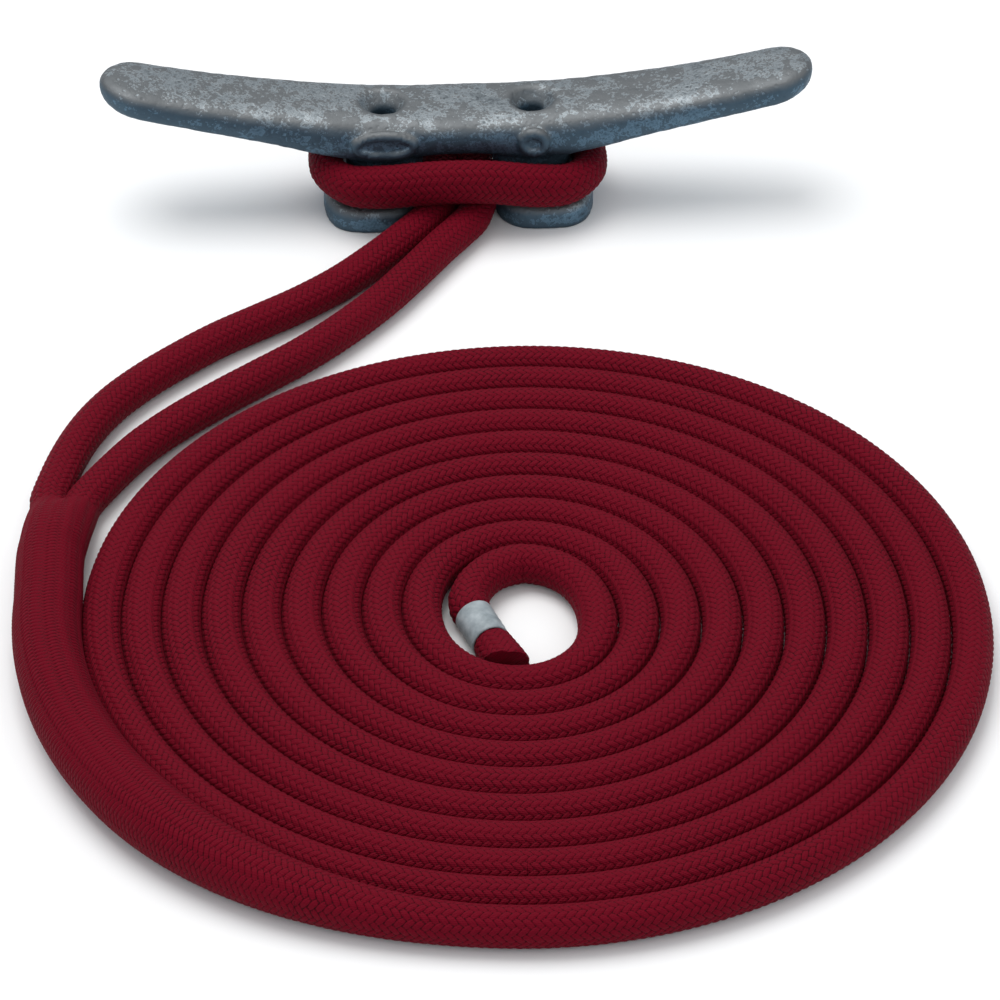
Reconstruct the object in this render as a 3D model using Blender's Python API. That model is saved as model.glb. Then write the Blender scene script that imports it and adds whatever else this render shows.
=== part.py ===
"""Coiled dock line. A double-braid nylon rope lies in a flat spiral coil. Its spliced eye is
hitched round the feet of a galvanised open-base dock cleat, and its bitter end, with a shrunk
sleeve, ends inside the coil.

The frame is in metres, +Z up, with the floor at z = 0 and the origin at the middle of the
footprint. +X runs along the cleat's horns and +Y from the coil towards the cleat."""

import math

import bmesh
import bpy
from mathutils import Matrix, Vector

# Where the cleat's middle stands on the floor. The rope's routes are given from this point.
CLEAT_X = -0.0039
CLEAT_Y = 0.1855

# The rope: a braided cover over a braided core.
ROPE_DIAMETER = 0.0127
COVER_WALL = 0.0020
CORE_CLEARANCE = 0.0007
TOUCH_GAP = 0.0004
FLOOR_GAP = 0.0001
ROPE_SIDES_SETTING = 4
ROUTE_STEP = 0.0115
CURVE_PIECES = 12
SHARP_ANGLE = 40

# The cleat's casting.
CLEAT_LENGTH = 0.257
CLEAT_TOP = 0.0406
TIP_RISE = 0.0163
BAR_HALF_WIDTH = 0.0162
TIP_HALF_WIDTH = 0.0134
BAR_THICKNESS = 0.0130
TIP_THICKNESS = 0.0096
TIP_END_THICKNESS_SHARE = 0.35
ROOT_SWELL = 0.0052
ROOT_SWELL_PLACE = 0.6
ROOT_SWELL_REACH = (0.7, 1.2)
LEG_SPACING = 0.0540
LEG_WIDTH = 0.0262
LEG_DEPTH = 0.0280
LEG_ROOT_SPREAD = 0.0075
LEG_SPREAD_START = 0.62
LEG_TOP_INSET = 0.0040
PAD_OUTER_OVERHANG = 0.0088
PAD_DEPTH = 0.0450
PAD_HEIGHT = 0.0080
PAD_EDGE = [(0.0, 0.0), (0.72, 0.0), (0.88, 0.0007), (0.97, 0.0018), (1.0, 0.0034)]
BOLT_HOLE_DIAMETER = 0.0105
COUNTERSINK_DIAMETER = 0.0185
COUNTERSINK_DEPTH = 0.0045
BOSS_WIDTH = 0.0230
BOSS_HEIGHT = 0.0105
BOSS_PROUD = 0.0008
BOSS_ROOT = 0.0040
BOSS_FACE_SHARE = 0.9
HOLE_OVERSHOOT = 0.0030

# How square each section of the casting is: 2 is an ellipse, and more is nearer a rectangle.
BAR_SQUARENESS = 3.6
LEG_SQUARENESS = 2.6
PAD_SQUARENESS = 3.0
ELLIPSE = 2.0

# Points round each of the casting's sections, and sections along it.
BAR_SIDES = 24
LEG_SIDES = 28
PAD_SIDES = 36
HOLE_SIDES = 24
BAR_STATIONS = 34
TIP_STATIONS = 5
TIP_LAST_ANGLE = 84
LEG_STATIONS = 10

# The coil: a spiral that starts at the splice, lies against it, and winds inwards.
COIL_Y = -0.2529
COIL_START_RADIUS = 0.1482
TURN_PITCH = 0.01295
COIL_HOLE_RADIUS = 0.0288
RING_SIDES = 72
HALF_ROUND_STEPS = 8

# The eye splice, where the buried tail swells the rope past its own diameter.
SPLICE_START_SWELL = 0.0095
SPLICE_FULL_SWELL = 0.0089
SPLICE_END_SWELL = 0.0042
SPLICE_WALL = 0.0026

# The sleeve shrunk onto the rope near its bitter end, which squeezes a neck into the rope.
SLEEVE_LENGTH = 0.0142
SLEEVE_WALL = 0.0006
SLEEVE_SIDES = 28
SLEEVE_SQUEEZE = 0.0019
SLEEVE_SETBACK = 0.0016
SLEEVE_END_MARGIN = 0.0004
SLEEVE_NECK_RADIUS = (ROPE_DIAMETER - SLEEVE_SQUEEZE) / 2

# The route of the eye, from the throat round the cleat's feet and back: x and y from the cleat's
# middle, and how far the rope is lifted off the floor.
EYE_OUTER_LEG = [
    (-0.1414, -0.1847, 0.0000),
    (-0.1369, -0.1653, 0.0000),
    (-0.1308, -0.1485, 0.0000),
    (-0.1228, -0.1341, 0.0000),
    (-0.1124, -0.1211, 0.0000),
    (-0.1001, -0.1088, 0.0000),
    (-0.0868, -0.0972, 0.0000),
    (-0.0729, -0.0872, 0.0000),
    (-0.0588, -0.0770, 0.0000),
    (-0.0450, -0.0650, 0.0000),
    (-0.0330, -0.0518, 0.0000),
    (-0.0218, -0.0380, 0.0000),
    (-0.0120, -0.0250, 0.0001),
    (-0.0075, -0.0150, 0.0003),
]
HITCH_HALF = [
    (0.0068, -0.0040, 0.0013),
    (0.0070, 0.0050, 0.0035),
    (0.0090, 0.0145, 0.0065),
    (0.0162, 0.0218, 0.0084),
    (0.0275, 0.0236, 0.0087),
    (0.0392, 0.0196, 0.0086),
    (0.0468, 0.0105, 0.0084),
    (0.0482, 0.0000, 0.0084),
    (0.0468, -0.0105, 0.0086),
    (0.0392, -0.0194, 0.0093),
    (0.0270, -0.0228, 0.0108),
    (0.0130, -0.0240, 0.0131),
]
HITCH_FRONT = (0.0000, -0.0245, 0.0138)
EYE_INNER_LEG = [
    (0.0072, -0.0150, 0.0003),
    (0.0042, -0.0250, 0.0001),
    (-0.0015, -0.0340, 0.0000),
    (-0.0085, -0.0442, 0.0000),
    (-0.0195, -0.0615, 0.0000),
    (-0.0305, -0.0775, 0.0000),
    (-0.0449, -0.0948, 0.0000),
    (-0.0589, -0.1090, 0.0000),
    (-0.0727, -0.1208, 0.0000),
    (-0.0863, -0.1325, 0.0000),
    (-0.0997, -0.1450, 0.0000),
    (-0.1118, -0.1585, 0.0000),
    (-0.1212, -0.1725, 0.0000),
    (-0.1289, -0.1860, 0.0000),
]

# The splice's route from the throat to where the coil takes over: x and y from the cleat's
# middle, and the swell.
SPLICE_ROUTE = [
    (-0.1352, -0.1882, SPLICE_START_SWELL),
    (-0.1381, -0.2050, SPLICE_FULL_SWELL),
    (-0.1396, -0.2250, SPLICE_FULL_SWELL),
    (-0.1402, -0.2455, SPLICE_FULL_SWELL),
    (-0.1395, -0.2650, 0.0080),
    (-0.1364, -0.2840, 0.0064),
    (-0.1313, -0.3023, 0.0050),
    (-0.1245, -0.3201, 0.0050),
    (-0.1151, -0.3367, SPLICE_END_SWELL),
]
SPLICE_MIDDLE = SPLICE_ROUTE[3]

# The bitter end's route inside the coil's hole: x and y from the spiral's middle, and the lift.
# It runs to the sleeve, straight through it at a heading, and on to the cut end.
TAIL_ROUTE = [
    (0.0013, 0.0186, 0.0000),
    (-0.0064, 0.0165, 0.0000),
    (-0.0128, 0.0117, 0.0000),
    (-0.0168, 0.0057, 0.0000),
    (-0.0177, 0.0010, 0.0000),
]
TAIL_HEADING = -69.8
TAIL_END = [
    (0.0015, -0.0041, 0.0000),
    (0.0031, -0.0085, 0.0000),
]


def clear_scene():
    for thing in list(bpy.data.objects):
        bpy.data.objects.remove(thing, do_unlink=True)


def material(name, colour, roughness, metallic=0.0):
    made = bpy.data.materials.new(name)
    made.use_nodes = True
    shader = made.node_tree.nodes["Principled BSDF"]
    shader.inputs["Base Color"].default_value = (*colour, 1.0)
    shader.inputs["Roughness"].default_value = roughness
    shader.inputs["Metallic"].default_value = metallic
    return made


def link(name, data, finish):
    made = bpy.data.objects.new(name, data)
    bpy.context.scene.collection.objects.link(made)
    if finish:
        data.materials.append(finish)
    return made


def mesh_from(bm, name, finish):
    bmesh.ops.recalc_face_normals(bm, faces=bm.faces)
    mesh = bpy.data.meshes.new(name)
    bm.to_mesh(mesh)
    bm.free()
    mesh.shade_smooth()
    mesh.set_sharp_from_angle(angle=math.radians(SHARP_ANGLE))
    return link(name, mesh, finish)


def catmull(before, start, end, after, t):
    """A point between start and end on the smooth curve through four points."""
    square = t * t
    cube = square * t
    return 0.5 * (
        2 * start
        + (end - before) * t
        + (2 * before - 5 * start + 4 * end - after) * square
        + (3 * start - before - 3 * end + after) * cube
    )


def smooth_route(points, step):
    """Points a step apart along the smooth curve through the given points, ends included."""
    places = [Vector(p) for p in points]
    padded = [2 * places[0] - places[1], *places, 2 * places[-1] - places[-2]]
    fine = []
    for i in range(1, len(padded) - 2):
        for j in range(CURVE_PIECES):
            fine.append(catmull(*padded[i - 1 : i + 3], j / CURVE_PIECES))
    fine.append(places[-1])
    total = sum((b - a).length for a, b in zip(fine, fine[1:]))
    count = max(2, round(total / step))
    spacing = total / count
    route = [fine[0]]
    travelled = 0.0
    for a, b in zip(fine, fine[1:]):
        travelled += (b - a).length
        while travelled >= spacing * len(route) and len(route) < count:
            back = (travelled - spacing * len(route)) / (b - a).length
            route.append(b.lerp(a, back))
    route.append(fine[-1])
    return route


def lying(points, middle):
    """The rope's centreline through points given from a middle, with their lifts off the floor."""
    rest = ROPE_DIAMETER / 2 + FLOOR_GAP
    return [Vector((middle[0] + x, middle[1] + y, rest + lift)) for x, y, lift in points]


def coil_middle():
    """The spiral's middle, placed so that its outermost turn lies against the splice."""
    x = SPLICE_MIDDLE[0] + SPLICE_FULL_SWELL / 2 + TOUCH_GAP + COIL_START_RADIUS
    return CLEAT_X + x, CLEAT_Y + COIL_Y


def rope_tube(name, route, radii, finish, wall=0.0):
    """A tube along a route. With a wall it is a cover with a bore, and without one it is solid."""
    curve = bpy.data.curves.new(name, "CURVE")
    curve.dimensions = "3D"
    curve.bevel_depth = 1.0
    curve.bevel_resolution = ROPE_SIDES_SETTING
    curve.use_fill_caps = not wall
    spline = curve.splines.new("POLY")
    spline.points.add(len(route) - 1)
    for point, place, radius in zip(spline.points, route, radii):
        point.co = (*place, 1.0)
        point.radius = radius
    made = link(name, curve, finish)
    if wall:
        shell = made.modifiers.new("cover wall", "SOLIDIFY")
        shell.thickness = wall
        shell.offset = -1.0
        shell.use_even_offset = True
    return made


def covered_rope(cover_name, core_name, route, radii, wall, cover_finish, core_finish):
    rope_tube(cover_name, route, radii, cover_finish, wall)
    inner = [radius - wall - CORE_CLEARANCE for radius in radii]
    rope_tube(core_name, route, inner, core_finish)


def superellipse(half_x, half_y, squareness, sides):
    """Points round an ellipse, or round a shape nearer a rectangle as the squareness grows."""
    points = []
    for i in range(sides):
        angle = 2 * math.pi * (i + 0.5) / sides
        cosine = math.cos(angle)
        sine = math.sin(angle)
        x = half_x * math.copysign(abs(cosine) ** (2 / squareness), cosine)
        y = half_y * math.copysign(abs(sine) ** (2 / squareness), sine)
        points.append((x, y))
    return points


def loft(name, sections, finish):
    """A closed body through rings of points, with flat ends."""
    bm = bmesh.new()
    rings = [[bm.verts.new(p) for p in section] for section in sections]
    for near, far in zip(rings, rings[1:]):
        join_rings(bm, near, far)
    bm.faces.new(rings[0])
    bm.faces.new(rings[-1])
    return mesh_from(bm, name, finish)


def join_rings(bm, near, far):
    count = len(near)
    for i in range(count):
        j = (i + 1) % count
        bm.faces.new((near[i], near[j], far[j], far[i]))


def smooth_step(value, low, high):
    t = min(max((value - low) / (high - low), 0.0), 1.0)
    return t * t * (3 - 2 * t)


def bar_section(x):
    """Top height, bottom height and half width of the bar and horns at a place along the cleat."""
    reach = abs(x) / (CLEAT_LENGTH / 2)
    top = CLEAT_TOP + TIP_RISE * reach**2
    past_root = abs(x) - ROOT_SWELL_PLACE * LEG_SPACING
    fade = ROOT_SWELL_REACH[past_root > 0] * LEG_WIDTH
    swell = ROOT_SWELL * math.exp(-((past_root / fade) ** 2))
    thickness = BAR_THICKNESS + (TIP_THICKNESS - BAR_THICKNESS) * reach + swell
    half_width = BAR_HALF_WIDTH + (TIP_HALF_WIDTH - BAR_HALF_WIDTH) * smooth_step(reach, 0.1, 1)
    return top, top - thickness, half_width


def horns(finish):
    """The bar with both horns: rounded sections, drawn in to round tips at the ends."""
    sections = []
    tip_length = TIP_HALF_WIDTH
    straight = CLEAT_LENGTH / 2 - tip_length
    stations = [straight * (2 * i / BAR_STATIONS - 1) for i in range(BAR_STATIONS + 1)]
    last = math.radians(TIP_LAST_ANGLE)
    ends = [math.sin(last * (i + 1) / TIP_STATIONS) for i in range(TIP_STATIONS)]
    right_tip = [straight + tip_length * end for end in ends]
    for x in [-x for x in reversed(right_tip)] + stations + right_tip:
        top, bottom, half_width = bar_section(x)
        past = max(0.0, (abs(x) - straight) / tip_length)
        shrink = math.sqrt(1 - past * past)
        middle = (top + bottom) / 2
        share = TIP_END_THICKNESS_SHARE + (1 - TIP_END_THICKNESS_SHARE) * shrink
        half_height = (top - bottom) / 2 * share
        outline = superellipse(half_width * shrink, half_height, BAR_SQUARENESS, BAR_SIDES)
        sections.append([(x, y, middle + z) for y, z in outline])
    return loft("dock_cleat", sections, finish)


def leg(side):
    """One leg, from inside its foot pad up into the bar, spreading where it joins the bar."""
    top = bar_section(LEG_SPACING / 2)[0] - LEG_TOP_INSET
    bottom = PAD_HEIGHT / 2
    sections = []
    for i in range(LEG_STATIONS + 1):
        z = bottom + (top - bottom) * i / LEG_STATIONS
        spread = LEG_ROOT_SPREAD * smooth_step(z, LEG_SPREAD_START * top, top)
        half_x = LEG_WIDTH / 2 + spread / 2
        centre = LEG_SPACING / 2 + spread / 2
        outline = superellipse(half_x, LEG_DEPTH / 2, LEG_SQUARENESS, LEG_SIDES)
        sections.append([(side * (centre + x), y, z) for x, y in outline])
    return loft(f"leg_{side}", sections, None)


def pad(side):
    """One foot pad, flat below and rounded over its top edge."""
    inner = LEG_SPACING / 2 - LEG_WIDTH / 2
    outer = LEG_SPACING / 2 + LEG_WIDTH / 2 + PAD_OUTER_OVERHANG
    centre = (inner + outer) / 2
    half_x = (outer - inner) / 2
    sections = []
    for height, inset in PAD_EDGE:
        outline = superellipse(half_x - inset, PAD_DEPTH / 2 - inset, PAD_SQUARENESS, PAD_SIDES)
        sections.append([(side * (centre + x), y, PAD_HEIGHT * height) for x, y in outline])
    return loft(f"pad_{side}", sections, None)


def boss(side, width):
    """A plain raised oval on the front of the bar, over a leg."""
    x = side * LEG_SPACING / 2
    top, bottom, half_width = bar_section(x)
    middle = (top + bottom) / 2
    face = -half_width
    rows = [
        (face + BOSS_ROOT, 1.0),
        (face - BOSS_PROUD / 2, 1.0),
        (face - BOSS_PROUD, BOSS_FACE_SHARE),
    ]
    sections = []
    for y, scale in rows:
        outline = superellipse(width / 2 * scale, BOSS_HEIGHT / 2 * scale, ELLIPSE, HOLE_SIDES)
        sections.append([(x + dx, y, middle + dz) for dx, dz in outline])
    return loft(f"boss_{side}", sections, None)


def bolt_hole(side):
    """A clearance hole through a leg with a countersink in the bar's top."""
    top = bar_section(LEG_SPACING / 2)[0]
    over = HOLE_OVERSHOOT
    slope = (COUNTERSINK_DIAMETER - BOLT_HOLE_DIAMETER) / 2 / COUNTERSINK_DEPTH
    rows = [
        (-over, BOLT_HOLE_DIAMETER / 2),
        (top - COUNTERSINK_DEPTH, BOLT_HOLE_DIAMETER / 2),
        (top + over, COUNTERSINK_DIAMETER / 2 + slope * over),
    ]
    sections = []
    for z, radius in rows:
        outline = superellipse(radius, radius, ELLIPSE, HOLE_SIDES)
        sections.append([(side * LEG_SPACING / 2 + x, y, z) for x, y in outline])
    return loft(f"bolt_hole_{side}", sections, None)


def combine(target, operand, operation):
    step = target.modifiers.new(operand.name, "BOOLEAN")
    step.operation = operation
    step.solver = "EXACT"
    step.object = operand
    operand.hide_render = True
    operand.display_type = "WIRE"
    operand.parent = target


def dock_cleat(finish):
    cleat = horns(finish)
    for side in (-1, 1):
        combine(cleat, leg(side), "UNION")
        combine(cleat, pad(side), "UNION")
    combine(cleat, boss(-1, BOSS_WIDTH), "UNION")
    combine(cleat, boss(1, BOSS_HEIGHT), "UNION")
    for side in (-1, 1):
        combine(cleat, bolt_hole(side), "DIFFERENCE")
    cleat.location = (CLEAT_X, CLEAT_Y, 0.0)
    return cleat


def eye_rope(cover_finish, core_finish):
    left = [(-x, y, z) for x, y, z in HITCH_HALF]
    right = list(reversed(HITCH_HALF))
    points = EYE_OUTER_LEG + left + [HITCH_FRONT] + right + EYE_INNER_LEG
    route = smooth_route(lying(points, (CLEAT_X, CLEAT_Y)), ROUTE_STEP)
    radii = [ROPE_DIAMETER / 2] * len(route)
    covered_rope("eye_cover", "eye_core", route, radii, COVER_WALL, cover_finish, core_finish)


def eye_splice(cover_finish, core_finish):
    """The splice's cover with the buried tail inside it, lying on the floor as it tapers."""
    points = [(x, y, swell / 2) for x, y, swell in SPLICE_ROUTE]
    route = smooth_route(lying(points, (CLEAT_X, CLEAT_Y)), ROUTE_STEP)
    radii = [place.z - FLOOR_GAP for place in route]
    covered_rope(
        "splice_cover", "buried_tail", route, radii, SPLICE_WALL, cover_finish, core_finish
    )


def turn_radius(turn):
    """The spiral's centreline radius, a number of turns after the splice."""
    return COIL_START_RADIUS - TURN_PITCH * turn


def half_round(middle, radius, start):
    """A half circle of a ring's section, clockwise from a starting angle in degrees."""
    angles = [math.radians(start - 180 * i / HALF_ROUND_STEPS) for i in range(HALF_ROUND_STEPS + 1)]
    return [(middle + radius * math.cos(a), 0.0, radius + radius * math.sin(a)) for a in angles]


def coiled_line(finish):
    """The coil's outer shape as one turned ring. Its middle is set off from the spiral's,
    because a spiral reaches further on the side where it starts."""
    half = ROPE_DIAMETER / 2
    right = turn_radius(0.5) + half
    left = turn_radius(1.0) + half
    near = turn_radius(0.25) + half
    far = turn_radius(0.75) + half
    outer = (right + left) / 2 - TOUCH_GAP
    profile = half_round(outer - half, half, 90) + half_round(COIL_HOLE_RADIUS + half, half, -90)
    bm = bmesh.new()
    rings = []
    for i in range(RING_SIDES):
        turn = Matrix.Rotation(2 * math.pi * i / RING_SIDES, 4, "Z")
        rings.append([bm.verts.new(turn @ Vector(p)) for p in profile])
    for i, ring in enumerate(rings):
        join_rings(bm, ring, rings[(i + 1) % RING_SIDES])
    coil = mesh_from(bm, "coiled_line", finish)
    x, y = coil_middle()
    coil.location = (x + (right - left) / 2, y - (near - far) / 2, FLOOR_GAP)


def tail_heading():
    return Vector((math.cos(math.radians(TAIL_HEADING)), math.sin(math.radians(TAIL_HEADING)), 0))


def bitter_end(cover_finish, core_finish):
    """The rope's last stretch, necked where the sleeve grips it, with its core inside."""
    route = lying(TAIL_ROUTE, coil_middle())
    neck_length = SLEEVE_SETBACK + SLEEVE_LENGTH + SLEEVE_END_MARGIN
    neck_end = route[-1] + tail_heading() * neck_length
    neck = SLEEVE_NECK_RADIUS
    radii = [ROPE_DIAMETER / 2] * (len(route) - 1) + [neck, neck]
    route += [neck_end] + [neck_end + Vector(step) for step in TAIL_END]
    radii += [ROPE_DIAMETER / 2] * len(TAIL_END)
    covered_rope("tail_cover", "tail_core", route, radii, COVER_WALL, cover_finish, core_finish)


def end_sleeve(finish):
    """A thin tube round the necked stretch of the tail."""
    start = lying(TAIL_ROUTE, coil_middle())[-1]
    along = tail_heading()
    bore = SLEEVE_NECK_RADIUS + TOUCH_GAP
    outer = bore + SLEEVE_WALL
    lip = SLEEVE_WALL / 3
    half = SLEEVE_LENGTH / 2
    rows = [
        (bore, -half),
        (outer - lip, -half),
        (outer, lip - half),
        (outer, half - lip),
        (outer - lip, half),
        (bore, half),
    ]
    bm = bmesh.new()
    rings = []
    for radius, z in rows:
        outline = superellipse(radius, radius, ELLIPSE, SLEEVE_SIDES)
        rings.append([bm.verts.new((x, y, z)) for x, y in outline])
    for i, ring in enumerate(rings):
        join_rings(bm, ring, rings[(i + 1) % len(rings)])
    sleeve = mesh_from(bm, "end_sleeve", finish)
    sleeve.location = start + along * (SLEEVE_SETBACK + half)
    sleeve.rotation_euler = along.to_track_quat("Z", "Y").to_euler()


def main():
    clear_scene()
    rope = material("burgundy nylon braid", (0.155, 0.004, 0.014), 0.75)
    core = material("undyed nylon core", (0.62, 0.60, 0.55), 0.80)
    zinc = material("hot-dip galvanised iron", (0.22, 0.24, 0.25), 0.55, 0.9)
    shrink = material("grey shrink sleeve", (0.20, 0.23, 0.25), 0.50)
    dock_cleat(zinc)
    eye_rope(rope, core)
    eye_splice(rope, core)
    coiled_line(rope)
    bitter_end(rope, core)
    end_sleeve(shrink)


main()
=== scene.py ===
"""The looks of a coiled dock line: a burgundy double-braid nylon rope, its spliced eye hitched
round a galvanised dock cleat, and its sleeved bitter end inside the coil.

Everything is in metres, +Z up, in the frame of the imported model."""

import math

import bmesh
import bpy
import numpy as np
from bpy.props import FloatProperty, FloatVectorProperty, IntProperty, PointerProperty
from mathutils import Euler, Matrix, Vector


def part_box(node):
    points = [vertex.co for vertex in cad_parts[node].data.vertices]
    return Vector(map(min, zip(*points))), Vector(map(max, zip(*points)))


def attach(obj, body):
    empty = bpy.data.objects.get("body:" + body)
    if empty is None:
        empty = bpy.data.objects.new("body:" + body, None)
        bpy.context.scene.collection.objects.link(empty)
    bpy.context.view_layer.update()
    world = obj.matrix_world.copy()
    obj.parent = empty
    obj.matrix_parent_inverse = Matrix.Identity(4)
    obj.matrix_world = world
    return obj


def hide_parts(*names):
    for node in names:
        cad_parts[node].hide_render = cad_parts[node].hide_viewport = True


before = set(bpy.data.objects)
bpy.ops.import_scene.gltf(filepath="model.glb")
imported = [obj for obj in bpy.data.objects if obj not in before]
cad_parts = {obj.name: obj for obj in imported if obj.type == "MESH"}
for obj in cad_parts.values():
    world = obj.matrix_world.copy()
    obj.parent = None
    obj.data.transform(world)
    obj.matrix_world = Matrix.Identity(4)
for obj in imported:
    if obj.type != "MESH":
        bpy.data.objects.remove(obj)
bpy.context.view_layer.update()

bl_info = {
    "name": "Coiled Dock Line",
    "version": (1, 0, 0),
    "blender": (4, 5, 0),
    "location": "View3D > Sidebar > Dock Line",
    "description": "Braids, coils and finishes a dock line round its packed model",
    "category": "Object",
}

BODY = "root"
MATH = "ShaderNodeMath"
VECTOR = "ShaderNodeVectorMath"


def box_middle(node):
    low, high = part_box(node)
    return (low + high) / 2


# Places taken from the frame. The coil's solid is set off from the spiral's middle by a quarter
# of the pitch each way, because a spiral reaches further on the side where it starts.
TURN_PITCH = 0.01295
CLEAT = Vector((box_middle("dock_cleat").x, box_middle("dock_cleat").y, 0.0))
RING = box_middle("coiled_line")
COIL = Vector((RING.x - TURN_PITCH / 4, RING.y + TURN_PITCH / 4, 0.0))
FLOOR_GAP = 0.0001

# The eye's route, from the throat round the cleat's feet and back: x and y from the cleat's
# middle, and how far the rope is lifted off the floor. Each leg starts inside the splice.
EYE_OUTER_LEG = [
    (-0.1404, -0.2040, 0.0014),
    (-0.1412, -0.1960, 0.0006),
    (-0.1417, -0.1905, 0.0002),
    (-0.1414, -0.1847, 0.0000),
    (-0.1369, -0.1653, 0.0000),
    (-0.1308, -0.1485, 0.0000),
    (-0.1228, -0.1341, 0.0000),
    (-0.1124, -0.1211, 0.0000),
    (-0.1001, -0.1088, 0.0000),
    (-0.0868, -0.0972, 0.0000),
    (-0.0729, -0.0872, 0.0000),
    (-0.0588, -0.0770, 0.0000),
    (-0.0450, -0.0650, 0.0000),
    (-0.0330, -0.0518, 0.0000),
    (-0.0218, -0.0380, 0.0000),
    (-0.0120, -0.0250, 0.0001),
    (-0.0068, -0.0150, 0.0003),
]
HITCH_HALF = [
    (0.0065, -0.0040, 0.0010),
    (0.0065, 0.0050, 0.0026),
    (0.0071, 0.0128, 0.0056),
    (0.0162, 0.0222, 0.0092),
    (0.0275, 0.0240, 0.0096),
    (0.0392, 0.0200, 0.0096),
    (0.0470, 0.0105, 0.0096),
    (0.0486, 0.0000, 0.0097),
    (0.0470, -0.0105, 0.0099),
    (0.0392, -0.0200, 0.0108),
    (0.0270, -0.0235, 0.0127),
    (0.0130, -0.0243, 0.0149),
]
HITCH_FRONT = (0.0000, -0.0247, 0.0158)
EYE_INNER_LEG = [
    (0.0068, -0.0150, 0.0003),
    (0.0042, -0.0250, 0.0001),
    (-0.0015, -0.0340, 0.0000),
    (-0.0085, -0.0442, 0.0000),
    (-0.0195, -0.0615, 0.0000),
    (-0.0305, -0.0775, 0.0000),
    (-0.0449, -0.0948, 0.0000),
    (-0.0589, -0.1090, 0.0000),
    (-0.0727, -0.1208, 0.0000),
    (-0.0863, -0.1325, 0.0000),
    (-0.0997, -0.1450, 0.0000),
    (-0.1118, -0.1585, 0.0000),
    (-0.1212, -0.1725, 0.0000),
    (-0.1289, -0.1860, 0.0000),
    (-0.1307, -0.1905, 0.0002),
    (-0.1324, -0.1960, 0.0006),
    (-0.1352, -0.2040, 0.0014),
]

# The splice's throat, where two legs become one rope: x and y from the cleat's middle, the
# radius of each lobe and how far each lobe's middle is from the splice's. The two lobes close up
# into one round rope, and past the last point the splice is the coil's outermost turn.
THROAT = [
    (-0.1362, -0.1900, 0.0058, 0.0055),
    (-0.1367, -0.1950, 0.0066, 0.0046),
    (-0.1374, -0.2010, 0.0080, 0.0032),
    (-0.1381, -0.2080, 0.0096, 0.0015),
    (-0.1388, -0.2160, 0.0106, 0.0003),
    (-0.1395, -0.2250, 0.0108, 0.0000),
]

# The bitter end's route inside the coil: x and y from the spiral's middle, and the lift. It
# runs to the sleeve, straight through it at a heading, and on to the cut end.
TAIL_ROUTE = [
    (-0.0092, 0.0223, 0.0000),
    (-0.0150, 0.0163, 0.0000),
    (-0.0182, 0.0090, 0.0000),
    (-0.0185, 0.0044, 0.0000),
    (-0.0177, 0.0010, 0.0000),
]
TAIL_HEADING = math.radians(-69.8)
TAIL_ONWARD = np.array([math.cos(TAIL_HEADING), math.sin(TAIL_HEADING), 0.0])
SLEEVE_START = 0.0016
SLEEVE_LENGTH = 0.0142
TAIL_AFTER_SLEEVE = 0.0150

# How finely paths are followed: points between two chosen ones, and points in a turn.
PATH_PIECES = 24
TURN_PIECES = 300

# How the line is laid out in pieces, and the sizes of the core's braid and its cut end.
RINGS_IN_PIECE = 1400
CORE_STRANDS = 8
CORE_SAMPLES = 4
CORE_RELIEF = 0.0004
CORE_SHORTER = 0.0075


class RopeSettings(bpy.types.PropertyGroup):
    diameter: FloatProperty(
        name="Diameter", description="The rope's diameter", default=0.0127, unit="LENGTH"
    )
    core_diameter: FloatProperty(
        name="Core diameter", description="The braided core's diameter", default=0.0073, unit="LENGTH"
    )
    strands: IntProperty(
        name="Strands each way", description="Strands that wind one way round the cover", default=16
    )
    repeat: FloatProperty(
        name="Braid repeat", description="Strand spacing along the rope", default=0.0027, unit="LENGTH"
    )
    samples: IntProperty(
        name="Samples per strand", description="Mesh columns across a strand, an even number", default=4
    )
    relief: FloatProperty(
        name="Relief", description="Height of the strands over the gaps", default=0.00042, unit="LENGTH"
    )
    start_radius: FloatProperty(
        name="Coil radius",
        description="The spiral's radius at the splice",
        default=0.1482, unit="LENGTH",
    )
    turns: FloatProperty(name="Turns", description="Turns in the spiral coil", default=9.75)
    splice_swell: FloatProperty(
        name="Splice swell",
        description="How much the buried tail thickens the rope",
        default=0.0089, unit="LENGTH",
    )
    bunching: FloatProperty(
        name="Bunching",
        description="Braid repeat over the splice, as a share of the rope's",
        default=0.58,
    )
    colour: FloatVectorProperty(
        name="Cover colour",
        description="Dyed nylon, sRGB",
        default=(0.262, 0.006, 0.052), subtype="COLOR_GAMMA",
    )


class CleatSettings(bpy.types.PropertyGroup):
    skin: FloatProperty(
        name="Skin", description="Mesh size of the casting's surface", default=0.00085, unit="LENGTH"
    )
    lumps: FloatProperty(
        name="Lumps",
        description="Height of the sand casting's unevenness",
        default=0.00050, unit="LENGTH",
    )
    colour: FloatVectorProperty(
        name="Zinc colour",
        description="Weathered zinc, sRGB",
        default=(0.41, 0.425, 0.43), subtype="COLOR_GAMMA",
    )


class StageSettings(bpy.types.PropertyGroup):
    lens: FloatProperty(name="Lens", description="Focal length in millimetres", default=136.8)
    floor_colour: FloatVectorProperty(
        name="Floor colour",
        description="Plain pale floor, sRGB",
        default=(0.93, 0.93, 0.93), subtype="COLOR_GAMMA",
    )


def rope_settings():
    return bpy.context.scene.dock_line_rope


def linear(code):
    """A linear colour from an sRGB hex code."""
    parts = [int(code[i : i + 2], 16) / 255 for i in (1, 3, 5)]
    return (*[p / 12.92 if p <= 0.04045 else ((p + 0.055) / 1.055) ** 2.4 for p in parts], 1.0)


def hex_code(colour):
    return "#" + "".join(f"{round(255 * part):02X}" for part in colour)


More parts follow.
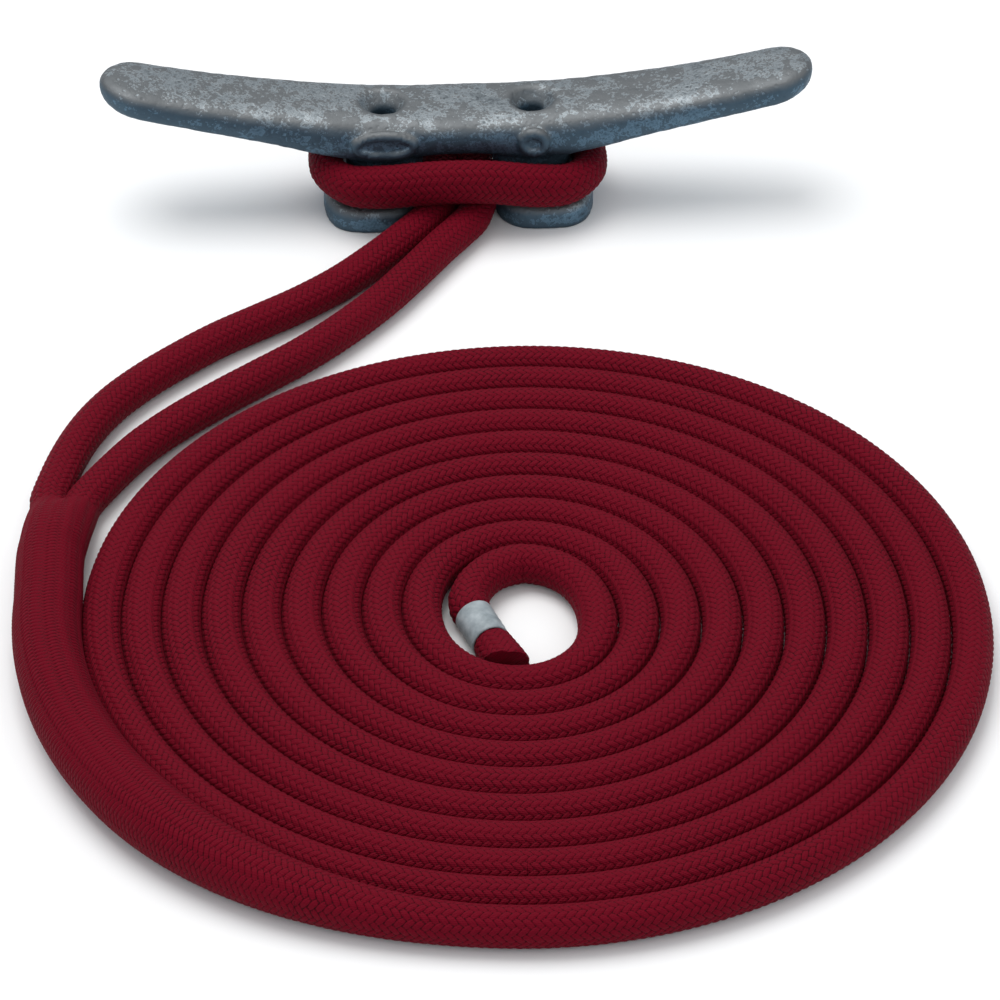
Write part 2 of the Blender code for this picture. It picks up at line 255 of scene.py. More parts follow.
def add(tree, kind, inputs=None, **settings):
    """A node with its settings. An input is a value, a node whose first output it takes, or a socket."""
    node = tree.nodes.new(kind)
    for name, value in settings.items():
        setattr(node, name, value)
    for key, value in (inputs or {}).items():
        if isinstance(value, bpy.types.Node):
            value = value.outputs[0]
        if isinstance(value, bpy.types.NodeSocket):
            tree.links.new(value, node.inputs[key])
        else:
            node.inputs[key].default_value = value
    return node


def new_object(name, data, finish=None):
    made = bpy.data.objects.new(name, data)
    bpy.context.scene.collection.objects.link(made)
    if finish:
        data.materials.append(finish)
    return made


def as_plain_mesh(source, name):
    """The evaluated object as a plain mesh at the origin, with the source removed."""
    now = bpy.context.evaluated_depsgraph_get()
    mesh = bpy.data.meshes.new_from_object(source.evaluated_get(now), depsgraph=now)
    mesh.transform(source.matrix_world)
    bpy.data.objects.remove(source)
    mesh.name = name
    return new_object(name, mesh)


def bmesh_object(name, bm, finish):
    bmesh.ops.recalc_face_normals(bm, faces=bm.faces)
    mesh = bpy.data.meshes.new(name)
    bm.to_mesh(mesh)
    bm.free()
    mesh.shade_smooth()
    return new_object(name, mesh, finish)


def settle(piece, slot, *nodes):
    """A finished piece rides on the part and stands for its CAD nodes, which are hidden; the slot is not
    used.
    """
    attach(piece, BODY)
    if nodes:
        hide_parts(*nodes)


# ---- Paths -------------------------------------------------------------------------------


def smooth_step(value, low, high):
    t = np.clip((np.asarray(value, float) - low) / (high - low), 0.0, 1.0)
    return t * t * (3 - 2 * t)


def smooth_path(points, pieces=PATH_PIECES):
    """Points along the smooth curve through rows of numbers, ends included."""
    rows = np.asarray(points, float)
    rows = np.vstack([2 * rows[0] - rows[1], rows, 2 * rows[-1] - rows[-2]])
    found = []
    for before, start, end, after in zip(rows, rows[1:], rows[2:], rows[3:]):
        for t in np.arange(pieces) / pieces:
            bend = 2 * before - 5 * start + 4 * end - after
            twist = 3 * start - before - 3 * end + after
            found.append(0.5 * (2 * start + (end - before) * t + bend * t * t + twist * t**3))
    return np.vstack([*found, rows[-2]])


def lengths_along(places):
    return np.concatenate([[0.0], np.cumsum(np.linalg.norm(np.diff(places, axis=0), axis=1))])


def lay_rings(places, columns, spacing):
    """Ring centres a spacing apart along a path, and the columns' values there."""
    travelled = lengths_along(places)
    spacing = np.broadcast_to(spacing, len(places))
    steps = np.diff(travelled) / ((spacing[1:] + spacing[:-1]) / 2)
    count = np.concatenate([[0.0], np.cumsum(steps)])
    rings = np.arange(int(count[-1]) + 1)
    centres = np.stack([np.interp(rings, count, places[:, i]) for i in range(3)], axis=1)
    return centres, [np.interp(rings, count, column) for column in columns]


def resting(points, middle, diameter):
    rows = np.asarray(points, float)
    rows[:, 0] += middle.x
    rows[:, 1] += middle.y
    rows[:, 2] += diameter / 2 + FLOOR_GAP
    return rows


# ---- Braid -------------------------------------------------------------------------------


def strand_height(tree, across, along, middle, wave=0.6, crown=0.4):
    """Height of one way's strands where a point is across and along them, in strands. Each
    strand passes over two and under two, and is round across. middle is where it is on top."""
    strand = add(tree, MATH, {0: across}, operation="FLOOR")
    place = add(tree, MATH, {0: strand, 1: along}, operation="ADD")
    place = add(tree, MATH, {0: place, 1: middle}, operation="SUBTRACT")
    angle = add(tree, MATH, {0: place, 1: math.pi / 2}, operation="MULTIPLY")
    over = add(tree, MATH, {0: angle}, operation="COSINE")
    side = add(tree, MATH, {0: across}, operation="FRACT")
    side = add(tree, MATH, {0: side, 1: 2.0, 2: -1.0}, operation="MULTIPLY_ADD")
    round_side = add(tree, MATH, {0: side, 1: side}, operation="MULTIPLY")
    round_side = add(tree, MATH, {0: round_side, 1: -crown, 2: crown}, operation="MULTIPLY_ADD")
    return add(tree, MATH, {0: over, 1: wave, 2: round_side}, operation="MULTIPLY_ADD")


COLUMNS = ("half_width", "flatness", "parted")
LEFT_MIDDLE = 1.0
RIGHT_MIDDLE = 3.0


def two_lobes(tree, outward, radius):
    """How far the outline of two circles side by side reaches in a direction. Their middles are
    "parted" from the outline's middle, and when that is nothing they are one circle."""
    parted = add(tree, "GeometryNodeInputNamedAttribute", {"Name": "parted"}, data_type="FLOAT")
    rise = add(tree, "ShaderNodeSeparateXYZ", {0: outward}).outputs["Z"]
    drop = add(tree, MATH, {0: parted, 1: rise}, operation="MULTIPLY")
    drop = add(tree, MATH, {0: drop, 1: drop}, operation="MULTIPLY")
    whole = add(tree, MATH, {0: radius, 1: radius}, operation="MULTIPLY")
    inner = add(tree, MATH, {0: whole, 1: drop}, operation="SUBTRACT")
    inner = add(tree, MATH, {0: inner}, operation="SQRT")
    side = add(tree, MATH, {0: rise, 1: rise}, operation="MULTIPLY")
    side = add(tree, MATH, {0: 1.0, 1: side}, operation="SUBTRACT")
    side = add(tree, MATH, {0: side}, operation="SQRT")
    return add(tree, MATH, {0: side, 1: parted, 2: inner}, operation="MULTIPLY_ADD")


def braid_tree():
    """A braided rope along a line of ring centres. Each ring is a mesh edge loop turned so that
    every strand's edge follows mesh edges, and UV map "braid" counts strands both ways."""
    tree = bpy.data.node_groups.new("braided rope", "GeometryNodeTree")
    face = tree.interface
    face.new_socket("Geometry", in_out="OUTPUT", socket_type="NodeSocketGeometry")
    face.new_socket("Geometry", in_out="INPUT", socket_type="NodeSocketGeometry")
    face.new_socket("Sides", in_out="INPUT", socket_type="NodeSocketInt")
    face.new_socket("Samples", in_out="INPUT", socket_type="NodeSocketInt")
    face.new_socket("First Ring", in_out="INPUT", socket_type="NodeSocketInt")
    face.new_socket("Relief", in_out="INPUT", socket_type="NodeSocketFloat")
    face.new_socket("Material", in_out="INPUT", socket_type="NodeSocketMaterial")
    given = add(tree, "NodeGroupInput")
    index = add(tree, "GeometryNodeInputIndex")
    place = add(tree, "GeometryNodeInputPosition")

    line = add(tree, "GeometryNodeMeshToCurve", {0: given.outputs["Geometry"]})
    line = add(tree, "GeometryNodeSetCurveNormal", {0: line}, mode="Z_UP")
    line = add(tree, "GeometryNodeStoreNamedAttribute",
               {"Geometry": line, "Name": "ring", "Value": index}, data_type="INT", domain="POINT")
    line = add(tree, "GeometryNodeStoreNamedAttribute",
               {"Geometry": line, "Name": "centre", "Value": place},
               data_type="FLOAT_VECTOR", domain="POINT")
    outline = add(tree, "GeometryNodeCurvePrimitiveCircle",
                  {"Resolution": given.outputs["Sides"], "Radius": 1.0}, mode="RADIUS")
    outline = add(tree, "GeometryNodeStoreNamedAttribute",
                  {"Geometry": outline, "Name": "column", "Value": index},
                  data_type="INT", domain="POINT")
    half_width = add(tree, "GeometryNodeInputNamedAttribute", {"Name": "half_width"}, data_type="FLOAT")
    tube = add(tree, "GeometryNodeCurveToMesh",
               {"Curve": line, "Profile Curve": outline, "Scale": half_width, "Fill Caps": True})

    # Columns round the rope and rings along it become strand counts each way.
    column = add(tree, "GeometryNodeInputNamedAttribute", {"Name": "column"}, data_type="FLOAT")
    ring = add(tree, "GeometryNodeInputNamedAttribute", {"Name": "ring"}, data_type="FLOAT")
    row = add(tree, MATH, {0: ring, 1: given.outputs["First Ring"]}, operation="ADD")
    left = add(tree, MATH, {0: column, 1: row}, operation="ADD")
    left = add(tree, MATH, {0: left, 1: given.outputs["Samples"]}, operation="DIVIDE")
    right = add(tree, MATH, {0: column, 1: row}, operation="SUBTRACT")
    right = add(tree, MATH, {0: right, 1: given.outputs["Samples"]}, operation="DIVIDE")
    over_left = strand_height(tree, left, right, LEFT_MIDDLE)
    over_right = strand_height(tree, right, left, RIGHT_MIDDLE)
    height = add(tree, MATH, {0: over_left, 1: over_right}, operation="MAXIMUM")
    height = add(tree, MATH, {0: height, 1: 0.5}, operation="SUBTRACT")
    height = add(tree, MATH, {0: height, 1: given.outputs["Relief"]}, operation="MULTIPLY")

    # A flattened rope is lower than it is wide, and the relief stands on that shape.
    centre = add(tree, "GeometryNodeInputNamedAttribute", {"Name": "centre"}, data_type="FLOAT_VECTOR")
    flat = add(tree, "GeometryNodeInputNamedAttribute", {"Name": "flatness"}, data_type="FLOAT")
    scale = add(tree, "ShaderNodeCombineXYZ", {0: 1.0, 1: 1.0, 2: flat})
    spoke = add(tree, VECTOR, {0: place, 1: centre}, operation="SUBTRACT")
    outward = add(tree, VECTOR, {0: spoke}, operation="NORMALIZE")
    reach = two_lobes(tree, outward, half_width)
    spoke = add(tree, VECTOR, {0: outward}, operation="SCALE")
    tree.links.new(reach.outputs[0], spoke.inputs["Scale"])
    spoke = add(tree, VECTOR, {0: spoke, 1: scale}, operation="MULTIPLY")
    lift = add(tree, VECTOR, {0: outward}, operation="SCALE")
    tree.links.new(height.outputs[0], lift.inputs["Scale"])
    moved = add(tree, VECTOR, {0: centre, 1: spoke}, operation="ADD")
    moved = add(tree, VECTOR, {0: moved, 1: lift}, operation="ADD")
    tube = add(tree, "GeometryNodeSetPosition", {"Geometry": tube, "Position": moved})

    # The column after the last one is the first again, and the UV map counts it on.
    average = add(tree, "GeometryNodeFieldOnDomain", {0: column}, data_type="FLOAT", domain="FACE")
    past = add(tree, MATH, {0: average, 1: 1.0}, operation="GREATER_THAN")
    first = add(tree, MATH, {0: column, 1: 0.5}, operation="LESS_THAN")
    seam = add(tree, MATH, {0: past, 1: first}, operation="MULTIPLY")
    turn = add(tree, MATH, {0: given.outputs["Sides"], 1: given.outputs["Samples"]}, operation="DIVIDE")
    extra = add(tree, MATH, {0: seam, 1: turn}, operation="MULTIPLY")
    u = add(tree, MATH, {0: left, 1: extra}, operation="ADD")
    v = add(tree, MATH, {0: right, 1: extra}, operation="ADD")
    both = add(tree, "ShaderNodeCombineXYZ", {0: u, 1: v, 2: 0.0})
    tube = add(tree, "GeometryNodeStoreNamedAttribute",
               {"Geometry": tube, "Name": "braid", "Value": both}, data_type="FLOAT2", domain="CORNER")

    # Each quad is cut along the strand edge that crosses it.
    band = add(tree, MATH, {0: index, 1: given.outputs["Sides"]}, operation="DIVIDE")
    band = add(tree, MATH, {0: band}, operation="FLOOR")
    band = add(tree, MATH, {0: band, 1: given.outputs["First Ring"]}, operation="ADD")
    parity = add(tree, MATH, {0: index, 1: band}, operation="ADD")
    parity = add(tree, MATH, {0: parity, 1: 2.0}, operation="MODULO")
    odd = add(tree, MATH, {0: parity, 1: 0.5}, operation="GREATER_THAN")
    tube = add(tree, "GeometryNodeStoreNamedAttribute",
               {"Geometry": tube, "Name": "odd", "Value": odd}, data_type="BOOLEAN", domain="FACE")
    is_odd = add(tree, "GeometryNodeInputNamedAttribute", {"Name": "odd"}, data_type="BOOLEAN")
    tube = add(tree, "GeometryNodeTriangulate",
               {"Mesh": tube, "Selection": is_odd}, quad_method="FIXED_ALTERNATE")
    tube = add(tree, "GeometryNodeTriangulate", {"Mesh": tube}, quad_method="FIXED")
    tube = add(tree, "GeometryNodeSetShadeSmooth", {"Geometry": tube, "Shade Smooth": True})
    tube = add(tree, "GeometryNodeRealizeInstances", {"Geometry": tube})
    tube = add(tree, "GeometryNodeSetMaterial",
               {"Geometry": tube, "Material": given.outputs["Material"]})
    add(tree, "NodeGroupOutput", {0: tube})
    return tree


def braided(name, centres, columns, first_ring, finish, strands, samples, relief):
    """One braided piece through ring centres, as a plain mesh. columns are its half widths,
    flatness and partings."""
    tree = bpy.data.node_groups.get("braided rope") or braid_tree()
    mesh = bpy.data.meshes.new(name + "_line")
    mesh.from_pydata([tuple(c) for c in centres], [(i, i + 1) for i in range(len(centres) - 1)], [])
    for attribute, values in zip(COLUMNS, columns):
        mesh.attributes.new(attribute, "FLOAT", "POINT").data.foreach_set("value", values)
    line = new_object(name + "_line", mesh)
    step = line.modifiers.new("braid", "NODES")
    step.node_group = tree
    values = {
        "Sides": strands * samples,
        "Samples": samples,
        "First Ring": int(first_ring),
        "Relief": relief,
        "Material": finish,
    }
    for item in tree.interface.items_tree:
        if item.in_out == "INPUT" and item.name in values:
            step[item.identifier] = values[item.name]
    piece = as_plain_mesh(line, name)
    for attribute in ("ring", "centre", "column", "odd", *COLUMNS):
        found = piece.data.attributes.get(attribute)
        if found:
            piece.data.attributes.remove(found)
    return piece


def rope_piece(name, centres, columns, first_ring):
    rope = rope_settings()
    sizes = rope.strands, rope.samples, rope.relief
    return braided(name, centres, columns, first_ring, dyed_nylon(), *sizes)


# ---- Materials ---------------------------------------------------------------------------


def new_material(name):
    made = bpy.data.materials.new(name)
    made.use_nodes = True
    made.node_tree.nodes.clear()
    return made, made.node_tree


def finish_material(tree, shader):
    add(tree, "ShaderNodeOutputMaterial", {"Surface": shader})


def braid_pattern(tree):
    """Shared by the cover and the core: the strand height at a point, and where it is across
    and along the strand on top."""
    uv = add(tree, "ShaderNodeUVMap", uv_map="braid")
    counts = add(tree, "ShaderNodeSeparateXYZ", {0: uv})
    left, right = counts.outputs[0], counts.outputs[1]
    over_left = strand_height(tree, left, right, LEFT_MIDDLE)
    over_right = strand_height(tree, right, left, RIGHT_MIDDLE)
    height = add(tree, MATH, {0: over_left, 1: over_right}, operation="MAXIMUM")
    on_top = add(tree, MATH, {0: over_left, 1: over_right}, operation="GREATER_THAN")
    across = add(tree, "ShaderNodeMix", {0: on_top, 2: right, 3: left}, data_type="FLOAT")
    along = add(tree, "ShaderNodeMix", {0: on_top, 2: left, 3: right}, data_type="FLOAT")
    return height, across, along


def braid_material(name, shades, roughness, yarns, sheen):
    """A braid of filament yarns. shades are hex codes: the painted shade in the gaps, the strand's own
    colour and the painted highlight on the crests.
    """
    made, tree = new_material(name)
    height, across, along = braid_pattern(tree)
    # Two or three twisted yarns lie side by side in a strand and show as fine slanted ribs.
    yarn = add(tree, MATH, {0: across, 1: yarns * math.pi}, operation="MULTIPLY")
    yarn = add(tree, MATH, {0: yarn}, operation="SINE")
    yarn = add(tree, MATH, {0: yarn}, operation="ABSOLUTE")
    twist = add(tree, MATH, {0: along, 1: 2.5}, operation="MULTIPLY")
    slant = add(tree, MATH, {0: across, 1: float(yarns), 2: twist}, operation="MULTIPLY_ADD")
    slant = add(tree, MATH, {0: slant, 1: 2 * math.pi}, operation="MULTIPLY")
    fibre = add(tree, MATH, {0: slant}, operation="SINE")
    # Filaments stray, so the ribs break up.
    where = add(tree, "ShaderNodeTexCoord")
    stray = add(tree, "ShaderNodeTexNoise",
                {"Vector": where.outputs["Object"], "Scale": 1400.0, "Detail": 3.0, "Roughness": 0.6})
    patch = add(tree, "ShaderNodeTexNoise",
                {"Vector": where.outputs["Object"], "Scale": 38.0, "Detail": 2.0})
    bump_height = add(tree, MATH, {0: yarn, 1: 0.30, 2: height}, operation="MULTIPLY_ADD")
    bump_height = add(tree, MATH, {0: fibre, 1: 0.10, 2: bump_height}, operation="MULTIPLY_ADD")
    bump_height = add(tree, MATH, {0: stray, 1: 0.35, 2: bump_height}, operation="MULTIPLY_ADD")
    bump = add(tree, "ShaderNodeBump", {"Strength": 0.75, "Distance": 0.0004, "Height": bump_height})
    # Painted shade and painted highlight: the colour is darker in the gaps between strands and between
    # yarns and lighter on the crests; the noise adds real random tone.
    tone = add(tree, MATH, {0: yarn, 1: 0.22, 2: height}, operation="MULTIPLY_ADD")
    tone = add(tree, MATH, {0: stray, 1: 0.45, 2: tone}, operation="MULTIPLY_ADD")
    tone = add(tree, MATH, {0: patch, 1: 0.35, 2: tone}, operation="MULTIPLY_ADD")
    ramp = add(tree, "ShaderNodeValToRGB", {0: tone})
    stops = ramp.color_ramp.elements
    stops[0].position, stops[0].color = 0.35, linear(shades[0])
    stops[1].position, stops[1].color = 1.45, linear(shades[2])
    middle = stops.new(0.85)
    middle.color = linear(shades[1])
    rough = add(tree, "ShaderNodeMapRange",
                {"Value": stray, "From Min": 0.3, "From Max": 0.7,
                 "To Min": roughness - 0.08, "To Max": roughness + 0.08})
    shader = add(tree, "ShaderNodeBsdfPrincipled",
                 {"Base Color": ramp, "Roughness": rough, "Normal": bump, "IOR": 1.53,
                  "Specular IOR Level": 0.05, "Sheen Weight": sheen, "Sheen Roughness": 0.45})
    finish_material(tree, shader)
    return made


def dyed_nylon():
    """Solution-dyed nylon filament, braided, with painted shade in the gaps and a painted highlight on
    the crests.
    """
    found = bpy.data.materials.get("dyed nylon braid")
    if found:
        return found
    # 1E0006 is painted shade in the gaps and #640418 a painted highlight on the crests.
    shade = hex_code(rope_settings().colour)
    return braid_material("dyed nylon braid", ("#1E0006", shade, "#640418"), 0.66, 2, 0.008)


def undyed_nylon():
    """The core's undyed nylon: off-white, matt, with looser strands."""
    found = bpy.data.materials.get("undyed nylon braid")
    # The first colour is painted shade in the gaps and the last a painted highlight on the crests.
    shades = ("#8F897A", "#D9D4C6", "#F1EEE4")
    return found or braid_material("undyed nylon braid", shades, 0.70, 2, 0.10)


def galvanised_iron():
    """Sand-cast iron dipped in zinc: grey with dull and bright patches, a grainy skin, pits where
    sand stuck, and clean zinc on the edges where ropes rub."""
    made, tree = new_material("galvanised cast iron")
    where = add(tree, "ShaderNodeTexCoord").outputs["Object"]
    grain = add(tree, "ShaderNodeTexNoise",
                {"Vector": where, "Scale": 900.0, "Detail": 4.0, "Roughness": 0.65})
    lumps = add(tree, "ShaderNodeTexNoise", {"Vector": where, "Scale": 220.0, "Detail": 3.0})
    patches = add(tree, "ShaderNodeTexNoise",
                  {"Vector": where, "Scale": 45.0, "Detail": 4.0, "Roughness": 0.6})
    spangle = add(tree, "ShaderNodeTexVoronoi", {"Vector": where, "Scale": 260.0}, feature="F1")
    pits = add(tree, "ShaderNodeTexVoronoi", {"Vector": where, "Scale": 330.0}, feature="F1")
    pit = add(tree, "ShaderNodeMapRange",
              {"Value": pits.outputs["Distance"], "From Min": 0.05, "From Max": 0.30,
               "To Min": -1.0, "To Max": 0.0})
    edge = add(tree, "ShaderNodeNewGeometry")
    worn = add(tree, "ShaderNodeMapRange",
               {"Value": edge.outputs["Pointiness"], "From Min": 0.50, "From Max": 0.56,
                "To Min": 0.0, "To Max": 1.0})
    tone = add(tree, MATH, {0: patches, 1: 0.55, 2: 0.22}, operation="MULTIPLY_ADD")
    tone = add(tree, MATH, {0: grain, 1: 0.60, 2: tone}, operation="MULTIPLY_ADD")
    tone = add(tree, MATH, {0: lumps, 1: 0.25, 2: tone}, operation="MULTIPLY_ADD")
    tone = add(tree, MATH, {0: spangle.outputs["Color"], 1: 0.16, 2: tone}, operation="MULTIPLY_ADD")
    tone = add(tree, MATH, {0: worn, 1: 0.30, 2: tone}, operation="MULTIPLY_ADD")
    tone = add(tree, MATH, {0: pit, 1: 0.12, 2: tone}, operation="MULTIPLY_ADD")
    ramp = add(tree, "ShaderNodeValToRGB", {0: tone})
    stops = ramp.color_ramp.elements
    base = hex_code(bpy.context.scene.dock_line_cleat.colour)
    stops[0].position, stops[0].color = 0.70, linear("#2F3539")
    stops[1].position, stops[1].color = 1.45, linear("#8E9599")
    middle = stops.new(1.00)
    middle.color = linear(base)
    # Painted shade: the side faces are painted darker and bluer than the upper faces, which keep the
    # plain zinc colour.
    up = add(tree, "ShaderNodeSeparateXYZ", {0: edge.outputs["Normal"]}).outputs["Z"]
    up_facing_unshaded = add(tree, "ShaderNodeMapRange",
                 {"Value": up, "From Min": 0.15, "From Max": 0.75, "To Min": 0.0, "To Max": 1.0})
    painted_side_shade = add(tree, "ShaderNodeMix",
                {0: up_facing_unshaded, 6: linear("#B0D6F0"), 7: linear("#FFFFFF")}, data_type="RGBA")
    skin = add(tree, "ShaderNodeMix",
               {0: 1.0, 6: ramp, 7: painted_side_shade.outputs[2]}, data_type="RGBA", blend_type="MULTIPLY")
    rough = add(tree, "ShaderNodeMapRange",
                {"Value": patches, "From Min": 0.3, "From Max": 0.7, "To Min": 0.42, "To Max": 0.66})
    bump_height = add(tree, MATH, {0: grain, 1: 0.5, 2: lumps}, operation="MULTIPLY_ADD")
    bump_height = add(tree, MATH, {0: pit, 1: 0.5, 2: bump_height}, operation="MULTIPLY_ADD")
    bump = add(tree, "ShaderNodeBump", {"Strength": 0.55, "Distance": 0.0006, "Height": bump_height})
    shader = add(tree, "ShaderNodeBsdfPrincipled",
                 {"Base Color": skin.outputs[2], "Roughness": rough, "Normal": bump, "Metallic": 0.85})
    finish_material(tree, shader)
    return made


def shrunk_polyolefin():
    """Heat-shrink tube: satin grey plastic that shows the braid faintly through it."""
    made, tree = new_material("heat-shrunk polyolefin")
    where = add(tree, "ShaderNodeTexCoord").outputs["Object"]
    smear = add(tree, "ShaderNodeTexNoise", {"Vector": where, "Scale": 260.0, "Detail": 3.0})
    grain = add(tree, "ShaderNodeTexNoise", {"Vector": where, "Scale": 1800.0, "Detail": 2.0})
    ramp = add(tree, "ShaderNodeValToRGB", {0: smear})
    ramp.color_ramp.elements[0].position, ramp.color_ramp.elements[0].color = 0.3, linear("#6E777B")
    ramp.color_ramp.elements[1].position, ramp.color_ramp.elements[1].color = 0.7, linear("#98A0A4")
    rough = add(tree, "ShaderNodeMapRange", {"Value": smear, "To Min": 0.36, "To Max": 0.56})
    bump_height = add(tree, MATH, {0: grain, 1: 0.25, 2: smear}, operation="MULTIPLY_ADD")
    bump = add(tree, "ShaderNodeBump", {"Strength": 0.5, "Distance": 0.0003, "Height": bump_height})
    shader = add(tree, "ShaderNodeBsdfPrincipled",
                 {"Base Color": ramp, "Roughness": rough, "Normal": bump, "IOR": 1.49})
    finish_material(tree, shader)
    return made


def floor_paper():
    """Matt studio paper, pale and even."""
    made, tree = new_material("matt studio paper")
    colour = linear(hex_code(bpy.context.scene.dock_line_stage.floor_colour))
    shader = add(tree, "ShaderNodeBsdfPrincipled",
                 {"Base Color": colour, "Roughness": 0.9, "Specular IOR Level": 0.1})
    finish_material(tree, shader)
    return made


# ---- Stage -------------------------------------------------------------------------------


def area_light(name, place, target, size, power, colour="#FFFFFF"):
    light = bpy.data.lights.new(name, "AREA")
    light.shape = "DISK"
    light.size = size
    light.energy = power
    light.color = linear(colour)[:3]
    lamp = new_object(name, light)
    lamp.location = place
    lamp.rotation_euler = (Vector(target) - Vector(place)).to_track_quat("-Z", "Y").to_euler()
    return lamp


class DOCKLINE_OT_stage(bpy.types.Operator):
    """Sets the camera, the pale floor and the soft lights"""

    bl_idname = "dockline.stage"
    bl_label = "Stage"

    def execute(self, context):
        scene = context.scene
        view = bpy.data.cameras.new("camera")
        view.lens = scene.dock_line_stage.lens
        view.sensor_width = 36.0
        view.clip_start = 0.05
        view.clip_end = 20.0
        camera = new_object("camera", view)
        camera.location = CLEAT + Vector((-0.0383, -1.1860, 0.7732))
        camera.rotation_euler = Euler((math.radians(52.34), 0.0, math.radians(-2.6)))
        scene.camera = camera

        bm = bmesh.new()
        bmesh.ops.create_grid(bm, x_segments=4, y_segments=4, size=4.0)
        floor = bmesh_object("studio_floor", bm, floor_paper())
        floor.location.z = -0.0002

        # The studio's ceiling is bright and its walls are dimmer and cooler.
        world = bpy.data.worlds.new("studio")
        world.use_nodes = True
        tree = world.node_tree
        sky = add(tree, "ShaderNodeTexCoord").outputs["Generated"]
        height = add(tree, "ShaderNodeSeparateXYZ", {0: sky}).outputs["Z"]
        walls = add(tree, "ShaderNodeValToRGB", {0: height})
        low, high = walls.color_ramp.elements
        low.position, low.color = 0.05, linear("#A9B8C6")
        high.position, high.color = 0.85, linear("#FFFFFF")
        tree.links.new(walls.outputs[0], tree.nodes["Background"].inputs[0])
        tree.nodes["Background"].inputs[1].default_value = 0.95
        scene.world = world
        area_light("overhead_softbox", (-0.35, 0.35, 1.5), (0.0, 0.0, 0.0), 1.2, 15.0)
        area_light("front_fill", (0.8, -1.4, 0.9), (0.0, 0.0, 0.0), 1.4, 3.0)
        scene.view_settings.view_transform = "Standard"
        return {"FINISHED"}


# ---- Rope --------------------------------------------------------------------------------


def turn_radius(turn):
    """The spiral's centreline radius, a number of turns after the splice."""
    return rope_settings().start_radius - TURN_PITCH * turn


SPIRAL_START_ANGLE = 177.4
SPLICE_PIECE_WIDTH = 0.0162
BURIED_TAIL_INSET = 60
TAPER_START = 0.10
TAPER_END = 0.24

# How the hand-laid coil differs from a true spiral: its turns' place in front and behind, and
# their drift sideways and forwards for each turn inwards.
PRESS_START = -0.0029
PRESS_GAIN = 0.00085
SIDE_DRAW = 0.00055
DRIFT_START = 0.0003
DRIFT_LEFT = 0.00025
DRIFT_FRONT = 0.00019
PRESS_NARROWING = 0.045

# The bitter end: the neck under the sleeve and the cut end past it.
SLEEVE_SQUEEZE = 0.00085
NECK_EASE = 0.0020
END_SPREAD = 0.0007
END_ROUNDING = 0.0004
END_REACH = 0.1
SLEEVE_WALL = 0.0006
SLEEVE_RIPPLE = 0.0001
SLEEVE_STEPS = 10
SLEEVE_SIDES = 64
CUT_FACING = math.radians(-104.0)
CUT_DISTANCE = 0.0262
HOLE_SHIFT = (-0.0026, -0.0018)
MERGED_WITHIN_CUT = 0.00001


def swell_at(turn):
    """How much thicker than the rope the splice is, a number of turns into the coil."""
    return rope_settings().splice_swell * (1 - smooth_step(turn, TAPER_START, TAPER_END))


def spiral_places():
    """The spiral's centreline and its columns, from the splice's end of the coil to its middle.
    The thick first stretch lies against the second turn. A hand-laid coil isn't a true spiral:
    its turns drift to the left and towards the front as they go in, and are pressed together
    most in front and behind, where the rope is a little narrower and higher."""
    rope = rope_settings()
    half = rope.diameter / 2
    turns = np.arange(0.0, rope.turns, 1 / TURN_PIECES)
    half_width = half + swell_at(turns) / 2
    angle = np.radians(SPIRAL_START_ANGLE + 360 * turns)
    across, along = np.cos(angle), np.sin(angle)
    touching = turn_radius(turns + 1) + (TURN_PITCH - 2 * half) + 2 * np.sqrt(half_width * half)
    eased = smooth_step(turns, 0.0, 0.25)
    pressed = (PRESS_START + PRESS_GAIN * turns) * along**2 - SIDE_DRAW * across**2
    radius = touching + pressed * eased
    x = COIL.x + radius * across - (DRIFT_START + DRIFT_LEFT * turns) * eased
    y = COIL.y + radius * along - DRIFT_FRONT * turns
    squeeze = PRESS_NARROWING * along**2 * smooth_step(turns, TAPER_START, TAPER_END)
    width = half_width * (1 - squeeze)
    places = np.stack([x, y, half_width + FLOOR_GAP], axis=1)
    return places, [width, half_width / width, np.zeros(len(turns))]


